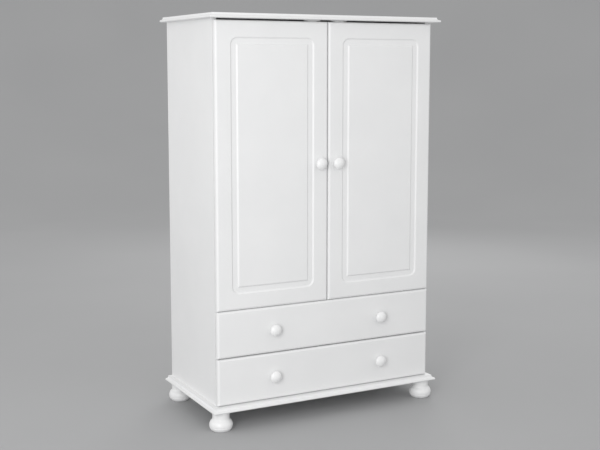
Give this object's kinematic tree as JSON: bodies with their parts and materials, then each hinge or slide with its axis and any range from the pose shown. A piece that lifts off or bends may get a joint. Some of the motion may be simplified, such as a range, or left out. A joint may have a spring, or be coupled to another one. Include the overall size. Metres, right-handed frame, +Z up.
{
  "type": "wardrobe",
  "caption": "White wardrobe with framed double doors over full-width drawers, moulded top and base boards, round knobs and turned bun feet.",
  "frame": {"origin": "on the floor, under the middle of the box around the closed wardrobe", "axes": "+X to the right as seen from the front, +Y towards the back, +Z up"},
  "size_m": [0.944, 0.491, 1.477],
  "materials": {
    "painted_moulding": "smooth satin white paint on fibreboard",
    "foiled_board": "smooth satin white foil on chipboard",
    "painted_turning": "satin white paint on turned beech",
    "white_hardboard": "matt white lacquer on hardboard",
    "white_plastic": "moulded, slightly glossy",
    "nickel_plated_steel": "nickel plate on pressed steel",
    "zinc_plated_steel": "bright zinc plate",
    "cast_zinc": "plain zinc casting",
    "chromed_steel": "bright chrome plate",
    "beech": "raw beech"
  },
  "bodies": {
    "cabinet": {"top_board": "painted_moulding", "base_board": "painted_moulding", "left_side": "foiled_board", "right_side": "foiled_board", "floor_panel": "foiled_board", "left_back_panel": "white_hardboard", "right_back_panel": "white_hardboard", "back_joiner": "white_plastic", "back_nails": "zinc_plated_steel", "panel_dowels": "beech", "cam_locks": "cast_zinc", "cam_pins": "zinc_plated_steel", "hanging_rail": "chromed_steel", "left_rail_socket": "chromed_steel", "right_rail_socket": "chromed_steel", "rail_screws": "zinc_plated_steel", "front_left_foot": "painted_turning", "front_right_foot": "painted_turning", "back_left_foot": "painted_turning", "back_right_foot": "painted_turning", "foot_bolts": "zinc_plated_steel", "hinge_plates": "nickel_plated_steel", "hinge_arms": "nickel_plated_steel", "hinge_plate_screws": "zinc_plated_steel", "door_catches": "white_plastic", "catch_screws": "zinc_plated_steel", "left_runners": "white_plastic", "right_runners": "white_plastic", "runner_screws": "zinc_plated_steel"},
    "left_door": {"left_door": "painted_moulding", "left_hinge_cups": "nickel_plated_steel", "left_door_knob": "painted_turning", "left_knob_screw": "zinc_plated_steel", "left_strike_plate": "nickel_plated_steel", "left_door_screws": "zinc_plated_steel"},
    "right_door": {"right_door": "painted_moulding", "right_hinge_cups": "nickel_plated_steel", "right_door_knob": "painted_turning", "right_knob_screw": "zinc_plated_steel", "right_strike_plate": "nickel_plated_steel", "right_door_screws": "zinc_plated_steel"},
    "upper_drawer": {"upper_drawer_front": "painted_moulding", "upper_drawer_left_side": "foiled_board", "upper_drawer_right_side": "foiled_board", "upper_drawer_back": "foiled_board", "upper_drawer_bottom": "white_hardboard", "upper_drawer_knobs": "painted_turning", "upper_drawer_knob_screws": "zinc_plated_steel", "upper_drawer_dowels": "beech"},
    "lower_drawer": {"lower_drawer_front": "painted_moulding", "lower_drawer_left_side": "foiled_board", "lower_drawer_right_side": "foiled_board", "lower_drawer_back": "foiled_board", "lower_drawer_bottom": "white_hardboard", "lower_drawer_knobs": "painted_turning", "lower_drawer_knob_screws": "zinc_plated_steel", "lower_drawer_dowels": "beech"}
  },
  "joints": [
    {"name": "left_door_hinge", "type": "hinge", "parent": "cabinet", "child": "left_door", "pos_m": [-0.437, -0.2065, 0.94375], "axis": [0, 0, -1], "range_deg": [0, 100]},
    {"name": "right_door_hinge", "type": "hinge", "parent": "cabinet", "child": "right_door", "pos_m": [0.437, -0.2065, 0.94375], "axis": [0, 0, 1], "range_deg": [0, 100]},
    {"name": "upper_drawer_slide", "type": "slide", "parent": "cabinet", "child": "upper_drawer", "axis": [0, -1, 0], "range_m": [0, 0.3]},
    {"name": "lower_drawer_slide", "type": "slide", "parent": "cabinet", "child": "lower_drawer", "axis": [0, -1, 0], "range_m": [0, 0.3]}
  ]
}
